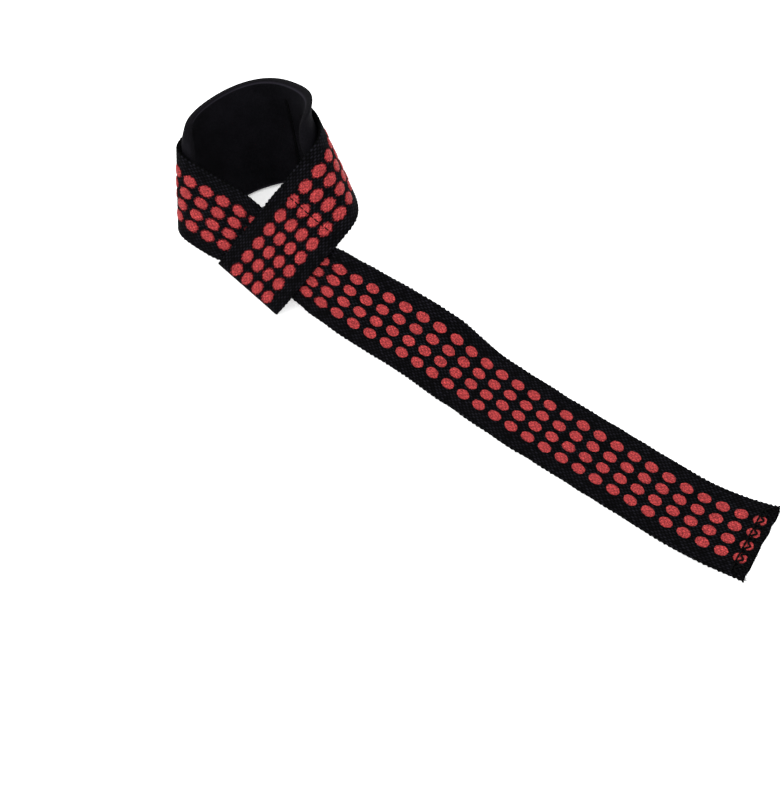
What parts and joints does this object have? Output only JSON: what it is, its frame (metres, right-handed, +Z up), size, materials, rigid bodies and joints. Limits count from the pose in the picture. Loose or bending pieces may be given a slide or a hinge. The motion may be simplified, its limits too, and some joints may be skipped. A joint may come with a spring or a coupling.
{
  "type": "padded weightlifting wrist strap",
  "caption": "Flat woven strap drawn through its own sewn eye into a padded wrist loop, with raised grip dots along its outer face and a long free tail.",
  "frame": {"origin": "on the surface that the strap lies on, under the middle of its bounding box", "axes": "+X along the tail towards its cut end, +Z up"},
  "size_m": [0.3326, 0.0852, 0.072],
  "materials": {
    "webbing": "black plain-woven cotton with raised oval dots of matt red silicone on its outer face",
    "pad": "matt black foam rubber with a short napped skin"
  },
  "bodies": {
    "root": {"webbing_strap": "webbing", "wrist_pad": "pad"}
  },
  "joints": []
}
